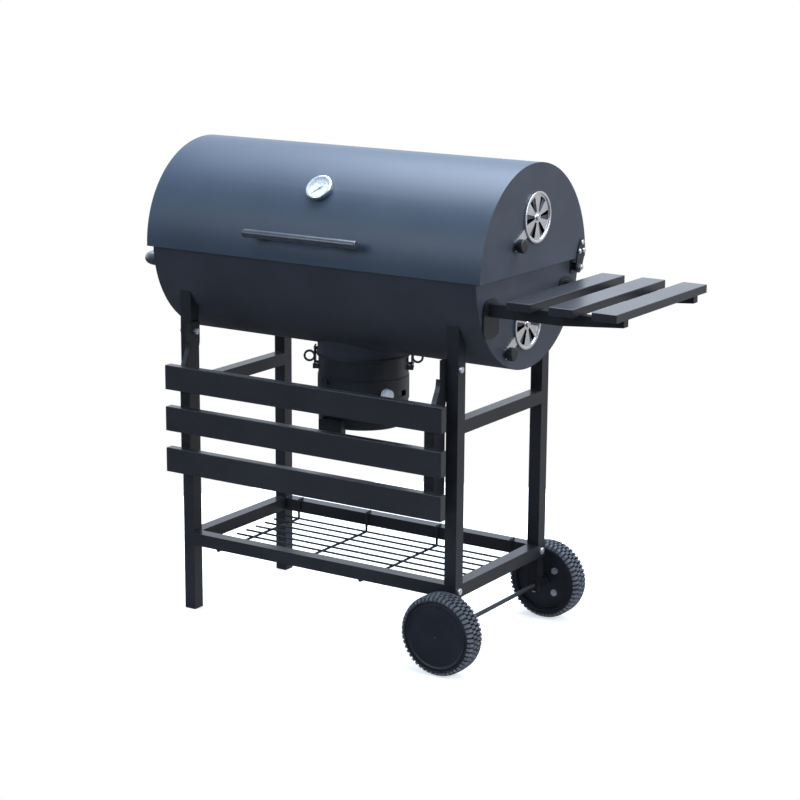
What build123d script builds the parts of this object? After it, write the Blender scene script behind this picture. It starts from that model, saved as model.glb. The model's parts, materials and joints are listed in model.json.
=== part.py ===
"""Barrel charcoal grill: a half-cylinder bowl and lid on a square-tube cart.

Right-handed frame in millimetres: X along the barrel, Y to the back, Z up.
The model is laid out about the middle of the barrel and moved along X on
export, so that the origin is the bottom centre of the whole grill.
"""
import os
from math import cos, radians, sin

from build123d import *

os.makedirs("parts", exist_ok=True)

# Square tube cart
TUBE = 30.0
TUBE_WALL = 1.5
CART_X = 380.0  # outer face of the legs, half length
CART_Y = 200.0  # outer face of the legs, half depth
LEG_X = CART_X - TUBE / 2
LEG_Y = CART_Y - TUBE / 2
FOOT = 3.0
GROUND_Z = -4.0
RAIL_Z = 157.0  # underside of the lower rails and of the right legs
CROSSBAR_Z = 530.0

# Barrel
AXIS_Z = 877.0
BOWL_R = 226.0
BOWL_HALF = 436.0
LID_R = 232.0
LID_HALF = 450.0
SHEET = 2.0
LID_SHEET = 1.5
LID_EDGE_Z = 873.0
RIM_LIP = 12.0

# Lid hinge
HINGE_Y = 200.0
HINGE_Z = 852.0
PIN_R = 4.0
RUN = 0.05  # radial running clearance

# Rotating vents
VENT_R = 57.0
VENT_SLOTS = 6
VENT_SLOT_ANGLE = 29.0
VENT_SLOT_IN = 13.0
VENT_SLOT_OUT = 47.0
VENT_HALF_OPEN = 15.0  # turn between disc and panel at rest
VENT_KNOB_R = 15.0
VENT_TAB = 22.0
VENT_KNOB_OUT = 102.0
VENT_KNOB_ANGLE = 210.0
LID_VENT = (6.0, 989.0)
BOWL_VENT = (-4.0, 752.0)

# Lid handle and thermometer
HANDLE_ANGLE = 12.5
HANDLE_REACH = 262.0
HANDLE_R = 10.0
HANDLE_LENGTH = 304.0
HANDLE_BRACKET_X = 115.0
GAUGE_ANGLE = 42.2
GAUGE_R = 31.5
NEEDLE_REST = 135.0  # needle points down to the left when the grill is cold

# Ash catcher
POT_R = 105.0
POT_TOP = 634.0
POT_BOTTOM = 470.0
POT_SHEET = 1.5
DAMPER_Z = 558.0
DAMPER_HEIGHT = 56.0
DAMPER_GAP = 0.4
DAMPER_TRAVEL = 9.0  # degrees either way, half open at rest
DAMPER_KNOB_ANGLE = -28.0
DAMPER_KNOB_R = 14.0
RIVET_ANGLES = (-108.8, 71.2)
RIVET_Z = 578.0
RIVET_R = 3.0
AIR_SLOTS = 8
AIR_SLOT_Z = 550.0
AIR_SLOT_TURN = 10.0
AIR_SLOT_WIDTH = 34.0
AIR_SLOT_HEIGHT = 14.0
POT_CORNER = 12.0
POT_PULL_X = -12.0
POT_PULL_WIDTH = 64.0
POT_PULL_HEIGHT = 40.0
POT_PULL_DROP = 15.0
LATCH_ANGLES = (30.0, -150.0)
LATCH_PIVOT_Z = 604.0
LATCH_LUG_Z = 643.0
LATCH_BAR_Z = 648.0
LATCH_X = 113.0
LATCH_HALF = 14.5
LATCH_WIRE = 2.0
LATCH_RING_R = 14.0

# Grates
GRATE_Z = 845.0
CHARCOAL_Z = 725.0
GRATE_ROD = 5.0
GRATE_PITCH = 22.0

# Wire shelf under the lower rails
SHELF_WIRE = 2.5
CROSS_WIRE = 3.0
CROSS_WIRE_Z = 141.0
SHELF_WIRE_PITCH = 38.0
SHELF_WIRES = 9
SHELF_WIRE_HALF = 345.0
CROSS_WIRES = (-306.0, -102.0, 102.0, 306.0)

# Wheels
WHEEL_R = 92.0
WHEEL_IN = 210.0
WHEEL_WIDTH = 58.0
AXLE_X = 369.0
AXLE_R = 5.0
AXLE_HALF = 256.0
HUB_R = 77.0
HUB_WELL_R = 62.0
HUB_WEB_Y = 14.0
HUB_BOLTS = 4
HUB_BOLT_R = 38.0
HUB_BOLT_TURN = 45.0

# Side table on the right end
TABLE_SLAT = 58.0
TABLE_PITCH = 101.0
TABLE_FIRST_X = 504.0
TABLE_HALF = 215.0
TABLE_TOP = 842.0
TABLE_THICK = 18.0
TABLE_ARM_Y = 165.0
TABLE_ARM_WIDTH = 20.0
TABLE_ARM_END = 761.0
TABLE_ARM_KNEE = 613.0

# Fold-down front shelf
SHELF_HALF = 378.0
SHELF_FRONT_Y = -264.0
SHELF_THICK = 20.0
SHELF_SLAT = 58.0
SHELF_PITCH = 98.5
SHELF_TOP_Z = 605.0
SHELF_PIVOT_Y = -190.0
SHELF_PIVOT_Z = 676.0
ARM_SHEET = 3.0
ARM_GAP = 1.0
ARM_FLANGE = 27.0

# Pull handle on the left end
PULL_R = 14.0
PULL_X = 515.0
PULL_Y = 165.0
PULL_Z = 829.0
PULL_BEND = 40.0

LEFT_END = -PULL_X - PULL_R
RIGHT_END = TABLE_FIRST_X + 2 * TABLE_PITCH + TABLE_SLAT
SHIFT_X = -(LEFT_END + RIGHT_END) / 2
AXLE_Z = GROUND_Z + WHEEL_R


def save(part, name):
    """Place one piece in the grill's frame, name it and write its file."""
    placed = Compound(part.solids()).moved(Location((SHIFT_X, 0, -GROUND_Z)))
    placed.label = name
    export_step(placed, f"parts/{name}.step")


def tube(size_x, size_y, size_z, along):
    """Square tube centred on the origin, open at both ends along one axis."""
    inner = [size_x - 2 * TUBE_WALL, size_y - 2 * TUBE_WALL, size_z - 2 * TUBE_WALL]
    inner[along] = (size_x, size_y, size_z)[along]
    with BuildPart() as part:
        Box(size_x, size_y, size_z)
        Box(*inner, mode=Mode.SUBTRACT)
    return part.part


def half_disc(radius, half, thick, floor_z, keep_above, openings=None):
    """End panel in the YZ plane, outer face at x = half (or -half)."""
    side = 1 if half > 0 else -1
    with BuildPart() as part:
        with BuildSketch(Plane.YZ.offset(half - (thick if side > 0 else 0))) as face:
            with Locations((0, AXIS_Z)):
                Circle(radius)
            with Locations((0, floor_z)):
                Rectangle(
                    2 * radius + 2,
                    2 * radius,
                    align=(Align.CENTER, Align.MAX if keep_above else Align.MIN),
                    mode=Mode.SUBTRACT,
                )
            if openings:
                with Locations(openings):
                    Circle(PIN_R + RUN, mode=Mode.SUBTRACT)
                    vent_slots(VENT_HALF_OPEN)
        extrude(amount=thick)
    return part.part


def vent_slots(turn):
    """Ring of wedge openings cut in the active sketch about its location."""
    with PolarLocations(0, VENT_SLOTS, start_angle=turn):
        with BuildSketch(mode=Mode.PRIVATE) as wedge:
            half = radians(VENT_SLOT_ANGLE / 2)
            with BuildLine():
                inner = CenterArc((0, 0), VENT_SLOT_IN, -VENT_SLOT_ANGLE / 2, VENT_SLOT_ANGLE)
                outer = CenterArc((0, 0), VENT_SLOT_OUT, -VENT_SLOT_ANGLE / 2, VENT_SLOT_ANGLE)
                Line(inner @ 0, outer @ 0)
                Line(inner @ 1, outer @ 1)
            make_face()
            fillet(wedge.vertices(), 2.0)
        add(wedge.sketch, mode=Mode.SUBTRACT)


# Bowl
with BuildPart() as bowl_shell:
    with BuildSketch(Plane.YZ.offset(-BOWL_HALF)):
        with Locations((0, AXIS_Z)):
            Circle(BOWL_R)
            Circle(BOWL_R - SHEET, mode=Mode.SUBTRACT)
        for side in (-1, 1):
            with Locations((side * (BOWL_R - SHEET - RIM_LIP / 2), AXIS_Z - SHEET / 2)):
                Rectangle(RIM_LIP + SHEET, SHEET)
        with Locations((0, AXIS_Z)):
            Rectangle(
                2 * BOWL_R, 2 * BOWL_R, align=(Align.CENTER, Align.MIN), mode=Mode.SUBTRACT
            )
    extrude(amount=2 * BOWL_HALF)
    with BuildSketch(Plane.XY):
        Circle(POT_R - 6)
    extrude(amount=AXIS_Z - BOWL_R / 2, mode=Mode.SUBTRACT)
    # Ledges for the cooking grates and for the charcoal grate, welded inside
    for ledge_z, ledge_in in ((GRATE_Z, 204.0), (CHARCOAL_Z, 148.0)):
        with BuildSketch(Plane.YZ.offset(-BOWL_HALF + SHEET)):
            with Locations((0, AXIS_Z)):
                Circle(BOWL_R - SHEET)
            with Locations((0, ledge_z)):
                Rectangle(2 * BOWL_R, 2 * BOWL_R, (0), (Align.CENTER, Align.MIN), Mode.SUBTRACT)
            with Locations((0, ledge_z - 3)):
                Rectangle(2 * BOWL_R, 2 * BOWL_R, (0), (Align.CENTER, Align.MAX), Mode.SUBTRACT)
            with Locations((0, ledge_z)):
                Rectangle(2 * ledge_in, 20, mode=Mode.SUBTRACT)
        extrude(amount=2 * (BOWL_HALF - SHEET))
save(bowl_shell.part, "bowl_shell")

bowl_panel_r = BOWL_R - SHEET
save(half_disc(bowl_panel_r, -BOWL_HALF, SHEET, AXIS_Z - SHEET, False), "bowl_end_left")
save(
    half_disc(bowl_panel_r, BOWL_HALF, SHEET, AXIS_Z - SHEET, False, [BOWL_VENT]),
    "bowl_end_right",
)

# Lid
with BuildPart() as lid_shell:
    with BuildSketch(Plane.YZ.offset(-LID_HALF)):
        with Locations((0, AXIS_Z)):
            Circle(LID_R)
            Circle(LID_R - LID_SHEET, mode=Mode.SUBTRACT)
        with Locations((0, LID_EDGE_Z)):
            Rectangle(
                3 * LID_R, 2 * LID_R, align=(Align.CENTER, Align.MAX), mode=Mode.SUBTRACT
            )
    extrude(amount=2 * LID_HALF)
    # Thermometer hole
    with BuildSketch(
        Plane(
            origin=(0, 0, AXIS_Z),
            x_dir=(1, 0, 0),
            z_dir=(0, -cos(radians(GAUGE_ANGLE)), sin(radians(GAUGE_ANGLE))),
        )
    ):
        Circle(4.0)
    extrude(amount=LID_R + 5, mode=Mode.SUBTRACT)
    # Rests that carry the closed lid on the rim of the bowl
    for x in (-300, 300):
        with Locations((x, -(LID_R - LID_SHEET) + 6.5, AXIS_Z + 0.3 + 1.5)):
            Box(24, 13, 3)
save(lid_shell.part, "lid_shell")

lid_panel_r = LID_R - LID_SHEET
save(half_disc(lid_panel_r, -LID_HALF, LID_SHEET, LID_EDGE_Z, True), "lid_end_left")
save(
    half_disc(lid_panel_r, LID_HALF, LID_SHEET, LID_EDGE_Z, True, [LID_VENT]),
    "lid_end_right",
)


# Rotating vents: a pressed disc with a raised rim, a tab and a centre rivet
def vent_disc(centre, panel_x, panel_thick):
    knob_y = VENT_KNOB_OUT * cos(radians(VENT_KNOB_ANGLE))
    knob_z = VENT_KNOB_OUT * sin(radians(VENT_KNOB_ANGLE))
    with BuildPart() as part:
        with BuildSketch(Plane.YZ.offset(panel_x + 0.5)):
            with Locations(centre):
                with BuildSketch(mode=Mode.PRIVATE) as outline:
                    Circle(VENT_R)
                    with Locations((knob_y, knob_z)):
                        Circle(VENT_KNOB_R - 2)
                    with Locations(Location((knob_y / 2, knob_z / 2, 0), (0, 0, VENT_KNOB_ANGLE))):
                        Rectangle(VENT_KNOB_OUT, VENT_TAB)
                add(outline.sketch)
                vent_slots(0)
        extrude(amount=1.2)
        with BuildSketch(Plane.YZ.offset(panel_x + 1.7)):
            with Locations(centre):
                Circle(VENT_R)
                Circle(VENT_R - 6, mode=Mode.SUBTRACT)
        extrude(amount=2.6)
        fillet(part.edges().filter_by(GeomType.CIRCLE).group_by(Axis.X)[-1], 1.2)
        # Centre rivet, turning in the panel and headed over inside it
        with BuildSketch(Plane.YZ.offset(panel_x - panel_thick - 2.3)):
            with Locations(centre):
                Circle(7.0)
        extrude(amount=2.0)
        with BuildSketch(Plane.YZ.offset(panel_x - panel_thick - 0.5)):
            with Locations(centre):
                Circle(PIN_R)
        extrude(amount=panel_thick + 4)
        with BuildSketch(Plane.YZ.offset(panel_x + 1.7)):
            with Locations(centre):
                Circle(8.0)
        extrude(amount=3.0, taper=30)
    return part.part


def vent_knob(centre, panel_x):
    knob_y = centre[0] + VENT_KNOB_OUT * cos(radians(VENT_KNOB_ANGLE))
    knob_z = centre[1] + VENT_KNOB_OUT * sin(radians(VENT_KNOB_ANGLE))
    with BuildPart() as part:
        with BuildSketch(Plane.YZ.offset(panel_x + 1.7)):
            with Locations((knob_y, knob_z)):
                Circle(VENT_KNOB_R - 4)
        extrude(amount=6)
        with BuildSketch(Plane.YZ.offset(panel_x + 7.7)):
            with Locations((knob_y, knob_z)):
                Circle(VENT_KNOB_R)
        extrude(amount=14)
        fillet(part.edges().group_by(Axis.X)[-1], 3.0)
    return part.part


save(vent_disc(LID_VENT, LID_HALF, LID_SHEET), "lid_vent_disc")
save(vent_knob(LID_VENT, LID_HALF), "lid_vent_knob")
save(vent_disc(BOWL_VENT, BOWL_HALF, SHEET), "bowl_vent_disc")
save(vent_knob(BOWL_VENT, BOWL_HALF), "bowl_vent_knob")

# Lid handle: a tube on two stand-off brackets
handle_out = Vector(0, -cos(radians(HANDLE_ANGLE)), sin(radians(HANDLE_ANGLE)))
handle_centre = Vector(0, 0, AXIS_Z) + handle_out * HANDLE_REACH
with BuildPart() as lid_handle:
    with BuildSketch(Plane(origin=(0, 0, AXIS_Z), x_dir=(1, 0, 0), z_dir=handle_out)):
        with GridLocations(2 * HANDLE_BRACKET_X, 1, 2, 1):
            RectangleRounded(30, 16, 3)
    extrude(amount=HANDLE_REACH)
    with BuildSketch(Plane.YZ.offset(-LID_HALF)):
        with Locations((0, AXIS_Z)):
            Circle(LID_R)
    extrude(amount=2 * LID_HALF, mode=Mode.SUBTRACT)
    with BuildSketch(Plane.YZ.offset(-HANDLE_LENGTH / 2)):
        with Locations((handle_centre.Y, handle_centre.Z)):
            Circle(HANDLE_R)
    extrude(amount=HANDLE_LENGTH)
    fillet(lid_handle.edges().group_by(Axis.X)[0], 4.0)
    fillet(lid_handle.edges().group_by(Axis.X)[-1], 4.0)
save(lid_handle.part, "lid_handle")

# Thermometer in the front of the lid
gauge_dir = (0, -cos(radians(GAUGE_ANGLE)), sin(radians(GAUGE_ANGLE)))
gauge = Plane(
    origin=(0, LID_R * gauge_dir[1], AXIS_Z + LID_R * gauge_dir[2]),
    x_dir=(1, 0, 0),
    z_dir=gauge_dir,
)
with BuildPart() as gauge_case:
    with BuildSketch(gauge):
        Circle(GAUGE_R - 2)
    extrude(amount=10)
    with BuildSketch(gauge.offset(6)):
        Circle(GAUGE_R)
    extrude(amount=7)
    fillet(gauge_case.edges().filter_by(GeomType.CIRCLE).sort_by(Axis(gauge.origin, gauge_dir))[-1], 2.5)
    with BuildSketch(gauge.offset(1.5)):
        Circle(GAUGE_R - 5)
    extrude(amount=20, mode=Mode.SUBTRACT)
    with BuildSketch(gauge):
        Circle(3.9)
    extrude(amount=-12)
    with BuildSketch(gauge.offset(-LID_SHEET - 0.15)):
        RegularPolygon(8.0, 6)
    extrude(amount=-5)
    with BuildSketch(gauge):
        Circle(3.0)
    extrude(amount=-60)
save(gauge_case.part, "thermometer_case")

with BuildPart() as gauge_dial:
    with BuildSketch(gauge.offset(4.0)):
        Circle(GAUGE_R - 5)
        Circle(1.5 + 0.35, mode=Mode.SUBTRACT)
    extrude(amount=1.0)
save(gauge_dial.part, "thermometer_dial")

with BuildPart() as gauge_lens:
    with BuildSketch(gauge.offset(9.5)):
        Circle(GAUGE_R - 5)
    extrude(amount=1.5)
save(gauge_lens.part, "thermometer_lens")

with BuildPart() as gauge_needle:
    with BuildSketch(gauge.offset(2.2)):
        Circle(1.5)
    extrude(amount=5.6)
    with BuildSketch(gauge.offset(6.2)):
        Circle(3.2)
        with Locations(Rotation(0, 0, NEEDLE_REST)):
            Polygon((-1.6, 0), (-1.0, -9), (1.0, -9), (1.6, 0), (0.4, 23), (-0.4, 23), align=None)
    extrude(amount=1.0)
save(gauge_needle.part, "thermometer_needle")

# Lid hinges, one at each end: bracket on the bowl, leaf on the lid
with BuildPart() as hinge_brackets:
    with BuildSketch(Plane.YZ.offset(BOWL_HALF)):
        with Locations((HINGE_Y, HINGE_Z)):
            RectangleRounded(28, 30, 6)
    extrude(amount=3)
    with BuildSketch(Plane.YZ.offset(BOWL_HALF + 3)):
        with Locations((HINGE_Y, HINGE_Z)):
            Circle(9)
    extrude(amount=LID_HALF - BOWL_HALF - 3 - 0.3)
    mirror(about=Plane.YZ)
    with BuildSketch(Plane.YZ.offset(-LID_HALF)):
        with Locations((HINGE_Y, HINGE_Z)):
            Circle(PIN_R)
    extrude(amount=2 * LID_HALF, mode=Mode.SUBTRACT)
save(hinge_brackets.part, "hinge_brackets")

with BuildPart() as hinge_pins:
    with BuildSketch(Plane.YZ.offset(BOWL_HALF)):
        with Locations((HINGE_Y, HINGE_Z)):
            Circle(PIN_R)
    extrude(amount=LID_HALF - BOWL_HALF + 12)
    with BuildSketch(Plane.YZ.offset(LID_HALF + 3.6)):
        with Locations((HINGE_Y, HINGE_Z)):
            RegularPolygon(7.5, 6)
    extrude(amount=6)
    mirror(about=Plane.YZ)

LEAF_SCREWS = ((HINGE_Y + 12, 907.0), (HINGE_Y + 1, 888.0), (HINGE_Y + 20, 888.0))
with BuildPart() as hinge_leaves:
    with BuildSketch(Plane.YZ.offset(LID_HALF)):
        with Locations((HINGE_Y, HINGE_Z)):
            Circle(13)
        for y, z in LEAF_SCREWS:
            with Locations((y, z)):
                Circle(8.5)
        make_hull()
        with Locations((HINGE_Y, HINGE_Z)):
            Circle(PIN_R + RUN, mode=Mode.SUBTRACT)
    extrude(amount=3)
    mirror(about=Plane.YZ)
save(hinge_leaves.part, "lid_hinge_leaves")

with BuildPart() as leaf_screws:
    with BuildSketch(Plane.YZ.offset(LID_HALF + 3)):
        with Locations(LEAF_SCREWS):
            Circle(5.5)
    extrude(amount=3.2)
    fillet(leaf_screws.edges().group_by(Axis.X)[-1], 2.0)
    mirror(about=Plane.YZ)
save(leaf_screws.part, "lid_hinge_screws")

# Grates
GRATE_X = BOWL_HALF - SHEET - 4
GRATE_Y = 218.0
CHARCOAL_Y = 158.0


def grate(length, width, pitch, rod, base_z, centre_x):
    """Grate of separate welded bars: rods along Y between two rims, on ties along X."""
    count = int((length - rod) // pitch) + 1
    with BuildPart() as rods:
        with Locations((centre_x, 0, base_z + rod / 2)):
            with GridLocations((length - rod) / (count - 1), 1, count, 1):
                Box(rod, width - 2 * rod, rod)
    with BuildPart() as rims:
        with Locations((centre_x, 0, base_z + rod / 2)):
            with GridLocations(1, width - rod, 1, 2):
                Box(length, rod, rod)
        with Locations((centre_x, 0, base_z - rod / 2)):
            with GridLocations(1, width / 3, 1, 2):
                Box(length, rod, rod)
    return Compound(rods.solids() + rims.solids())


for name, side in (("cooking_grate_left", -1), ("cooking_grate_right", 1)):
    save(grate(GRATE_X - 1, 2 * GRATE_Y, GRATE_PITCH, GRATE_ROD, GRATE_Z, side * (GRATE_X + 1) / 2), name)
save(grate(2 * GRATE_X, 2 * CHARCOAL_Y, GRATE_PITCH, GRATE_ROD, CHARCOAL_Z, 0), "charcoal_grate")

# Ash collar under the bowl, with a lug for each latch
def radial(angle, z):
    """Plane on the pot's axis whose normal points out at an angle about Z."""
    out = (cos(radians(angle)), sin(radians(angle)), 0)
    return Plane(origin=(0, 0, z), x_dir=(-out[1], out[0], 0), z_dir=out)


with BuildPart() as ash_collar:
    with BuildSketch(Plane.XY.offset(POT_TOP + 0.3)):
        Circle(POT_R + SHEET)
    extrude(amount=60)
    with BuildSketch(Plane.XY.offset(POT_TOP + 0.3)):
        Circle(POT_R + 5)
    extrude(amount=SHEET)
    for angle in LATCH_ANGLES:
        with BuildSketch(radial(angle, LATCH_LUG_Z)):
            Rectangle(18, 5)
        extrude(amount=LATCH_X + 2)
    with BuildSketch(Plane.XY.offset(POT_TOP)):
        Circle(POT_R)
    extrude(amount=100, mode=Mode.SUBTRACT)
    with BuildSketch(Plane.YZ.offset(-BOWL_HALF)):
        with Locations((0, AXIS_Z)):
            Circle(BOWL_R)
    extrude(amount=2 * BOWL_HALF, mode=Mode.SUBTRACT)
save(ash_collar.part, "ash_collar")

# Ash pot: a drawn cup with air slots, guide rivets and a folded pull
with BuildPart() as pot_cavity:
    with BuildSketch(Plane.XY.offset(POT_BOTTOM + POT_SHEET)):
        Circle(POT_R - POT_SHEET)
    extrude(amount=POT_TOP - POT_BOTTOM)
    fillet(pot_cavity.edges().group_by(Axis.Z)[0], POT_CORNER - POT_SHEET)

with BuildPart() as ash_pot:
    with BuildSketch(Plane.XY.offset(POT_BOTTOM)):
        Circle(POT_R)
    extrude(amount=POT_TOP - POT_BOTTOM)
    fillet(ash_pot.edges().group_by(Axis.Z)[0], POT_CORNER)
    with BuildSketch(Plane.XY.offset(POT_TOP - SHEET)):
        Circle(POT_R + 4)
    extrude(amount=SHEET)
    for angle in RIVET_ANGLES:
        with BuildSketch(radial(angle, RIVET_Z).offset(POT_R - 1)):
            Circle(RIVET_R)
        extrude(amount=4)
        with BuildSketch(radial(angle, RIVET_Z).offset(POT_R + 2.6)):
            Circle(2 * RIVET_R)
        extrude(amount=2.2)
    add(pot_cavity.part, mode=Mode.SUBTRACT)
    for slot in range(AIR_SLOTS):
        with BuildSketch(radial(slot * 360 / AIR_SLOTS + AIR_SLOT_TURN, AIR_SLOT_Z)):
            Rectangle(AIR_SLOT_WIDTH, AIR_SLOT_HEIGHT)
        extrude(amount=POT_R + 1, mode=Mode.SUBTRACT)

# Folded pull low on the front of the pot, welded to its wall and open to the back
with BuildPart() as pot_pull:
    with BuildSketch(Plane.XY.offset(POT_BOTTOM - POT_PULL_DROP)):
        with Locations((POT_PULL_X, -POT_R + 5)):
            Rectangle(POT_PULL_WIDTH, 40)
            with Locations((0, 3)):
                Rectangle(POT_PULL_WIDTH - 6, 40, mode=Mode.SUBTRACT)
    extrude(amount=POT_PULL_HEIGHT)
    with BuildSketch(Plane.XY.offset(POT_BOTTOM - POT_PULL_DROP)):
        Circle(POT_R)
    extrude(amount=POT_PULL_HEIGHT, mode=Mode.SUBTRACT)
save(Compound(ash_pot.solids() + pot_pull.solids()), "ash_pot")

# Air damper: a slotted ring that turns round the pot between the rivets
with BuildPart() as damper_ring:
    with BuildSketch(Plane.XY.offset(DAMPER_Z - DAMPER_HEIGHT / 2)):
        Circle(POT_R + DAMPER_GAP + POT_SHEET)
        Circle(POT_R + DAMPER_GAP, mode=Mode.SUBTRACT)
    extrude(amount=DAMPER_HEIGHT)
    for slot in range(AIR_SLOTS):
        turn = slot * 360 / AIR_SLOTS + AIR_SLOT_TURN - DAMPER_TRAVEL
        with BuildSketch(radial(turn, AIR_SLOT_Z)):
            Rectangle(AIR_SLOT_WIDTH, AIR_SLOT_HEIGHT)
        extrude(amount=POT_R + 5, mode=Mode.SUBTRACT)
    for angle in RIVET_ANGLES:
        start = radians(angle - DAMPER_TRAVEL - 3)
        with BuildSketch(
            Plane(
                origin=(0, 0, RIVET_Z),
                x_dir=(cos(start), sin(start), 0),
                z_dir=(sin(start), -cos(start), 0),
            )
        ):
            with Locations((POT_R + 1, 0)):
                Rectangle(8, 2 * RIVET_R + 1)
        revolve(axis=Axis.Z, revolution_arc=2 * DAMPER_TRAVEL + 6, mode=Mode.SUBTRACT)
save(damper_ring.part, "ash_damper_ring")

with BuildPart() as damper_knob:
    with BuildSketch(radial(DAMPER_KNOB_ANGLE, DAMPER_Z - 2).offset(POT_R)):
        Circle(6)
    extrude(amount=6)
    with BuildSketch(radial(DAMPER_KNOB_ANGLE, DAMPER_Z - 2).offset(POT_R + 5)):
        Circle(DAMPER_KNOB_R)
    extrude(amount=13)
    fillet(damper_knob.edges().sort_by(Axis((0, 0, 0), radial(DAMPER_KNOB_ANGLE, 0).z_dir))[-1], 3)
    with BuildSketch(Plane.XY.offset(POT_BOTTOM)):
        Circle(POT_R + DAMPER_GAP + POT_SHEET)
    extrude(amount=POT_TOP - POT_BOTTOM, mode=Mode.SUBTRACT)
save(damper_knob.part, "ash_damper_knob")

# Latches: two ears and a pin on the pot, and a wire bail with a finger ring
with BuildPart() as latch_bracket:
    with Locations((LATCH_X - 2.5, 0, LATCH_PIVOT_Z)):
        with GridLocations(1, 2 * LATCH_HALF + 4, 1, 2):
            Box(13, 3, 12)
    with BuildSketch(Plane.XZ.offset(-LATCH_HALF - 3.5)):
        with Locations((LATCH_X, LATCH_PIVOT_Z)):
            Circle(LATCH_WIRE)
    extrude(amount=2 * LATCH_HALF + 7)
    with BuildSketch(Plane.XY.offset(POT_BOTTOM)):
        Circle(POT_R)
    extrude(amount=POT_TOP - POT_BOTTOM, mode=Mode.SUBTRACT)
brackets = [latch_bracket.part.rotate(Axis.Z, angle) for angle in LATCH_ANGLES]
save(Compound(children=brackets), "ash_latch_brackets")

with BuildPart() as latch:
    with BuildSketch(Plane.XZ.offset(-LATCH_HALF)):
        with Locations((LATCH_X, LATCH_PIVOT_Z)):
            Circle(4.5)
    extrude(amount=2 * LATCH_HALF)
    with BuildSketch(Plane.XY.offset(LATCH_PIVOT_Z)):
        with Locations((LATCH_X, 0)):
            with GridLocations(1, 2 * LATCH_HALF - 5, 1, 2):
                Circle(LATCH_WIRE)
    extrude(amount=LATCH_BAR_Z - LATCH_PIVOT_Z)
    with BuildSketch(Plane.XZ.offset(-LATCH_HALF)):
        with Locations((LATCH_X, LATCH_BAR_Z)):
            Circle(LATCH_WIRE + 0.3)
    extrude(amount=2 * LATCH_HALF)
    with Locations((LATCH_X, 0, LATCH_PIVOT_Z + 16)):
        Box(3, 2 * LATCH_HALF - 4, 16)
    with BuildSketch(Plane.XZ.offset(-2)):
        with Locations((LATCH_X + LATCH_RING_R - 1, LATCH_PIVOT_Z + 21)):
            Circle(LATCH_RING_R)
            Circle(LATCH_RING_R - 5, mode=Mode.SUBTRACT)
    extrude(amount=4)
    with BuildSketch(Plane.XZ.offset(-LATCH_HALF - 1)):
        with Locations((LATCH_X, LATCH_PIVOT_Z)):
            Circle(LATCH_WIRE + RUN)
    extrude(amount=2 * LATCH_HALF + 2, mode=Mode.SUBTRACT)
for name, angle in zip(("right", "left"), LATCH_ANGLES):
    save(latch.part.rotate(Axis.Z, angle), f"ash_latch_{name}")


# Legs: square tubes coped to the bowl, drilled for the hinge and axle bolts
def leg(x_side, y_side, bottom):
    with BuildPart() as part:
        with BuildSketch(Plane.XY.offset(bottom)):
            with Locations((x_side * LEG_X, y_side * LEG_Y)):
                Rectangle(TUBE, TUBE)
                Rectangle(TUBE - 2 * TUBE_WALL, TUBE - 2 * TUBE_WALL, mode=Mode.SUBTRACT)
        extrude(amount=AXIS_Z - 90 - bottom)
        with BuildSketch(Plane.YZ.offset(-BOWL_HALF)):
            with Locations((0, AXIS_Z)):
                Circle(BOWL_R)
            if y_side < 0:
                with Locations((SHELF_PIVOT_Y, SHELF_PIVOT_Z)):
                    Circle(PIN_R)
            if x_side > 0:
                with Locations((y_side * LEG_Y, RAIL_Z + TUBE / 2)):
                    Circle(PIN_R)
        extrude(amount=2 * BOWL_HALF, mode=Mode.SUBTRACT)
    return part.part


save(leg(-1, -1, GROUND_Z + FOOT), "leg_front_left")
save(leg(-1, 1, GROUND_Z + FOOT), "leg_back_left")
save(leg(1, -1, RAIL_Z), "leg_front_right")
save(leg(1, 1, RAIL_Z), "leg_back_right")

with BuildPart() as foot_caps:
    with Locations((-LEG_X, 0, GROUND_Z + FOOT / 2)):
        with GridLocations(1, 2 * LEG_Y, 1, 2):
            Box(TUBE, TUBE, FOOT)
    chamfer(foot_caps.edges().group_by(Axis.Z)[0], 0.8)
    with Locations((-LEG_X, 0, GROUND_Z + FOOT + 5)):
        with GridLocations(1, 2 * LEG_Y, 1, 2):
            Box(TUBE - 2 * TUBE_WALL, TUBE - 2 * TUBE_WALL, 10)
save(foot_caps.part, "foot_caps")

# Upper crossbars and the ring of lower rails
bar_y = tube(TUBE, 2 * LEG_Y - TUBE, TUBE, 1)
bar_x = tube(2 * LEG_X - TUBE, TUBE, TUBE, 0)
for name, side in (("left", -1), ("right", 1)):
    save(bar_y.moved(Location((side * LEG_X, 0, CROSSBAR_Z + TUBE / 2))), f"crossbar_{name}")
    save(bar_y.moved(Location((side * LEG_X, 0, RAIL_Z + TUBE / 2))), f"rail_{name}")
for name, side in (("front", -1), ("back", 1)):
    save(bar_x.moved(Location((0, side * LEG_Y, RAIL_Z + TUBE / 2))), f"rail_{name}")

# Wire shelf: cross wires hooked over the front and back rails, long wires on top
with BuildPart() as long_wires:
    with BuildSketch(Plane.YZ.offset(-SHELF_WIRE_HALF)):
        with Locations((0, CROSS_WIRE_Z + CROSS_WIRE + SHELF_WIRE)):
            with GridLocations(SHELF_WIRE_PITCH, 1, SHELF_WIRES, 1):
                Circle(SHELF_WIRE)
    extrude(amount=2 * SHELF_WIRE_HALF)

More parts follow.
